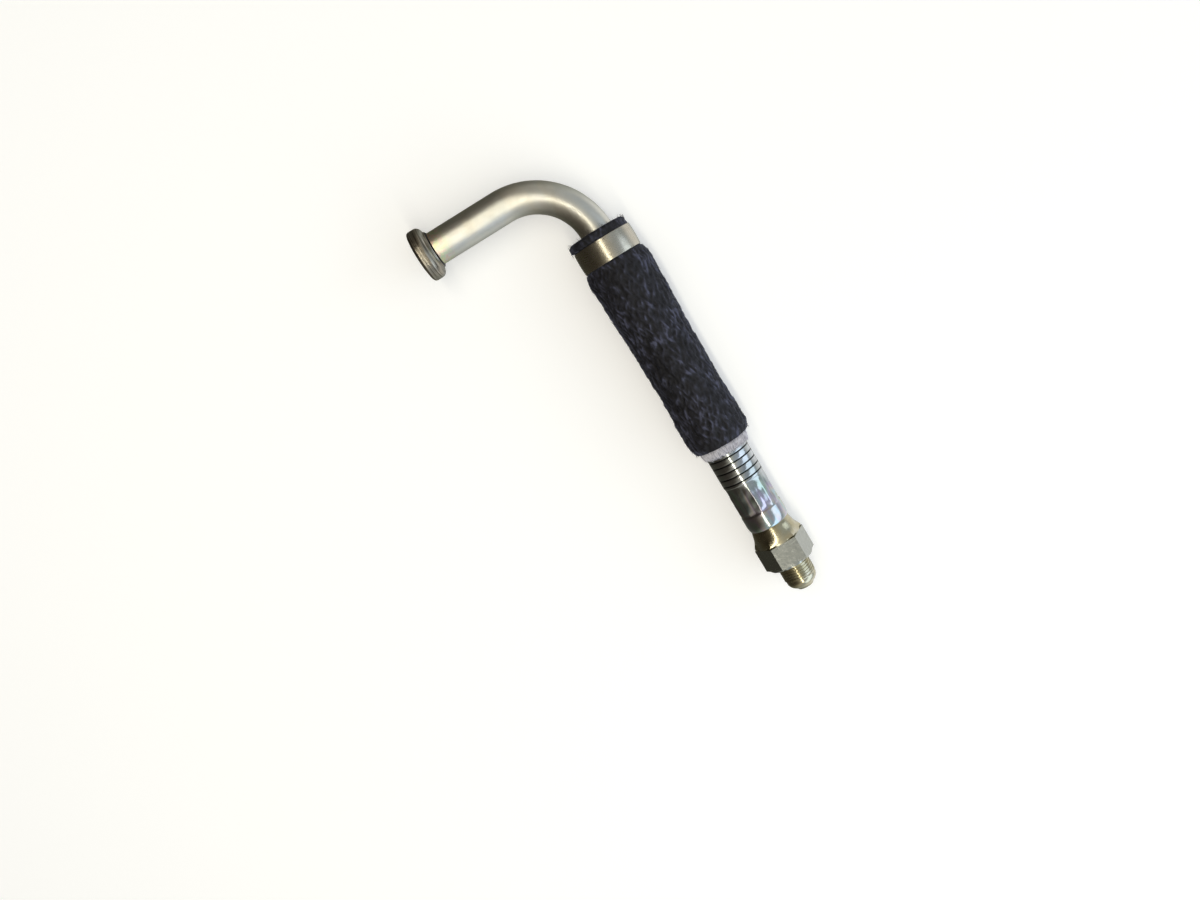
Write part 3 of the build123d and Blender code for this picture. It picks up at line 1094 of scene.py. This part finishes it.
class HOSE_OT_ferrule(Operator):
    """Add the ribbed and crimped ferrule at the fitting"""

    bl_idname = "hose.ferrule"
    bl_label = "Fitting ferrule"

    def execute(self, context):
        outer = cad_outline("fitting_ferrule", MOUTH, 11.0 * MM)
        start, end = FERRULE_LOW.x - MOUTH.x, FERRULE_HIGH.x - MOUTH.x
        bore, lip, lip_end = 10.8 * MM, 8.35 * MM, 3.45 * MM
        outline = filled(outer, 1.1 * MM) + [
            (end, lip), (end - lip_end, lip), (end - lip_end, bore),
            (start + 0.8 * MM, bore), (start, bore + 0.4 * MM),
        ]
        piece = turn("ferrule", outline, segments=192)
        self.press_jaws(piece, end - CRIMP_LENGTH, end - NOTCH_PLACE)
        soften(piece, 0.1 * MM, 2, 24)
        dress(piece, ferrule_zinc(), FITTING_BODY, "fitting_ferrule")
        return {"FINISHED"}

    def press_jaws(self, piece, start, end):
        """Press the crimped zone with ten jaws, which leave soft ridges between them."""
        jaw, ridge_place = math.tau / 10, math.radians(93)
        for vert in piece.data.vertices:
            station, off = off_axis(vert)
            if off.length < 11.5 * MM or not start < station < end:
                continue
            pressed = min(ease((station - start) / (4.5 * MM)), ease((end - station) / (0.9 * MM)))
            part = abs(((math.atan2(off.y, off.x) - ridge_place) / jaw) % 1 - 0.5) * 2
            relief = (0.42 * part ** 3 - 0.2 * (1 - part) ** 2) * MM
            notch = 0.35 * MM * math.exp(-(((end - 0.9 * MM - station) / (0.8 * MM)) ** 2))
            sway = 0.4 * MM * turbulence.noise(Vector((station / (5 * MM), off.x * 230, off.y * 230)))
            off *= 1 + (pressed * (relief + sway) - notch) / off.length
            put_off_axis(vert, off)


class HOSE_OT_fitting(Operator):
    """Add the insert with its neck, hexagon and threaded stud"""

    bl_idname = "hose.fitting"
    bl_label = "Stud fitting"

    def execute(self, context):
        sizes = context.scene.hose_sizes
        end = INSERT_HIGH.x - MOUTH.x
        crest = MOUNTS["stud_thread"]["dims"]["r_mm"] * MM
        bore = MOUNTS["stud_port"]["dims"]["r_mm"] * MM
        thread_length = MOUNTS["stud_thread"]["dims"]["length_mm"] * MM
        hex_end = MOUNTS["stud_thread"]["pos_m"][0] - thread_length / 2 - MOUTH.x
        thread_end = hex_end + thread_length
        flat = (INSERT_HIGH.z - INSERT_LOW.z) / 2
        corner = flat / math.cos(math.radians(30))
        hex_start = hex_end - sizes.hex_length
        flare_start = hex_start - 5.1 * MM
        chamfer = (corner - flat) * math.tan(math.radians(30))
        root = crest - sizes.thread_depth
        nose_from = Vector((thread_end + 0.95 * MM, root - 0.25 * MM))
        nose_to = Vector((end - 0.9 * MM, bore + 0.7 * MM))
        nose, bulge, steps = [], 2.4 * MM, 8
        for i in range(steps + 1):
            share = i / steps
            place = nose_from.lerp(nose_to, share)
            nose.append((place.x, place.y + bulge * share * (1 - share)))
        turned = cad_outline("fitting_insert", MOUTH, 5.0 * MM)
        tail = [(s, r) for s, r in turned if s < flare_start - 0.1 * MM]
        outline = tail + filled([(flare_start, 12.9 * MM), (hex_start, flat)], 0.9 * MM)
        outline += filled([(hex_start + 0.02 * MM, corner), (hex_end - chamfer, corner)], 2.0 * MM)
        outline += [
            (hex_end, flat - 0.1 * MM), (hex_end + 0.02 * MM, root + 1.2 * MM), (hex_end + 0.3 * MM, root),
            (thread_end - 0.4 * MM, root), (thread_end + 0.5 * MM, root - 0.05 * MM),
            *nose, (end - 0.25 * MM, bore + 0.3 * MM), (end, bore + 0.15 * MM),
            (end, bore), (tail[0][0], bore),
        ]
        piece = turn("fitting", outline, segments=192)
        self.make_hexagon(piece, flare_start, hex_start, hex_end, flat)
        soften(piece, 0.22 * MM, 3, 22)
        finish = fitting_zinc(MOUTH.x + hex_start, MOUTH.x + hex_end)
        dress(piece, finish, FITTING_BODY, "fitting_insert")
        thread = self.thread(root, crest, hex_end, thread_end, sizes.thread_pitch)
        dress(thread, finish, FITTING_BODY)
        return {"FINISHED"}

    def make_hexagon(self, piece, flare_start, hex_start, hex_end, flat):
        """Press the round hexagon zone to six flats, with a flare from the neck into them."""
        for vert in piece.data.vertices:
            station, off = off_axis(vert)
            if off.length < flat * 0.8 or not flare_start - 1e-6 < station < hex_end + 1e-6:
                continue
            to_flat = (math.atan2(off.y, off.x) % (math.pi / 3)) - math.pi / 6
            hexagon = flat / math.cos(to_flat)
            if station < hex_start:
                share = (station - flare_start) / (hex_start - flare_start)
                off *= (off.length + (hexagon - flat) * share) / off.length
            else:
                off *= min(off.length, hexagon) / off.length
            put_off_axis(vert, off)

    def thread(self, root, crest, start, end, pitch):
        """The stud's thread: one ridge wound round the core, fading out at both ends."""
        bpy.ops.object.select_all(action="DESELECT")
        axis_place = Vector((MOUTH.x + start + 0.9 * MM, MOUTH.y, MOUTH.z))
        turns = math.floor((end - start - 1.1 * MM) / pitch)
        bpy.ops.mesh.primitive_plane_add(size=pitch, location=axis_place, rotation=(math.pi / 2, 0, 0))
        piece = bpy.context.object
        piece.name = piece.data.name = "stud_thread"
        bpy.ops.object.transform_apply(location=False, rotation=True, scale=True)
        sunk = root - 0.12 * MM
        section = [(-0.46 * pitch, sunk), (0.46 * pitch, sunk), (0.13 * pitch, crest), (-0.13 * pitch, crest)]
        corners = sorted(piece.data.vertices, key=lambda vert: math.atan2(vert.co.z, vert.co.x))
        for vert, (along, radius) in zip(corners, section):
            vert.co = (along, 0, radius)
        finish_with(
            piece, "SCREW", axis="X", angle=math.tau, iterations=turns, screw_offset=pitch,
            steps=64, render_steps=64, use_normal_calculate=True, use_merge_vertices=False,
        )
        bpy.ops.object.transform_apply(location=True, rotation=True, scale=True)
        low = axis_place.x
        high = low + turns * pitch
        for vert in piece.data.vertices:
            _, off = off_axis(vert)
            from_end = min(vert.co.x - low, high - vert.co.x)
            fade = ease((from_end + 0.5 * pitch) / (1.1 * pitch))
            off *= (sunk + (off.length - sunk) * fade) / off.length
            put_off_axis(vert, off)
        edit(piece)
        bpy.ops.mesh.select_all(action="SELECT")
        bpy.ops.mesh.remove_doubles(threshold=1e-6)
        bpy.ops.mesh.select_all(action="DESELECT")
        bpy.ops.mesh.select_non_manifold(extend=False)
        bpy.ops.mesh.edge_face_add()
        close_edit()
        smooth(piece, 30)
        return piece


class HOSE_PT_panel(Panel):
    """Lists the settings and the steps"""

    bl_label = "Hydraulic hose assembly"
    bl_idname = "HOSE_PT_panel"
    bl_space_type = "VIEW_3D"
    bl_region_type = "UI"
    bl_category = "Hose"

    def draw(self, context):
        layout = self.layout
        for group in (context.scene.hose_sizes, context.scene.hose_colours):
            for key in group.__annotations__:
                layout.prop(group, key)
        for step in STEPS:
            layout.operator(step.bl_idname)


STEPS = (
    HOSE_OT_stage,
    HOSE_OT_pipe,
    HOSE_OT_flange,
    HOSE_OT_inner_parts,
    HOSE_OT_sleeve,
    HOSE_OT_band,
    HOSE_OT_glass,
    HOSE_OT_ferrule,
    HOSE_OT_fitting,
)
CLASSES = (HoseSizes, HoseColours) + STEPS + (HOSE_PT_panel,)


def register():
    """Register the classes and the settings."""
    for cls in CLASSES:
        bpy.utils.register_class(cls)
    bpy.types.Scene.hose_sizes = PointerProperty(type=HoseSizes)
    bpy.types.Scene.hose_colours = PointerProperty(type=HoseColours)


def unregister():
    """Remove the settings and the classes."""
    del bpy.types.Scene.hose_colours
    del bpy.types.Scene.hose_sizes
    for cls in reversed(CLASSES):
        bpy.utils.unregister_class(cls)


def main():
    """Build every piece in order."""
    register()
    for step in STEPS:
        group, name = step.bl_idname.split(".")
        getattr(getattr(bpy.ops, group), name)()


if __name__ == "__main__":
    main()
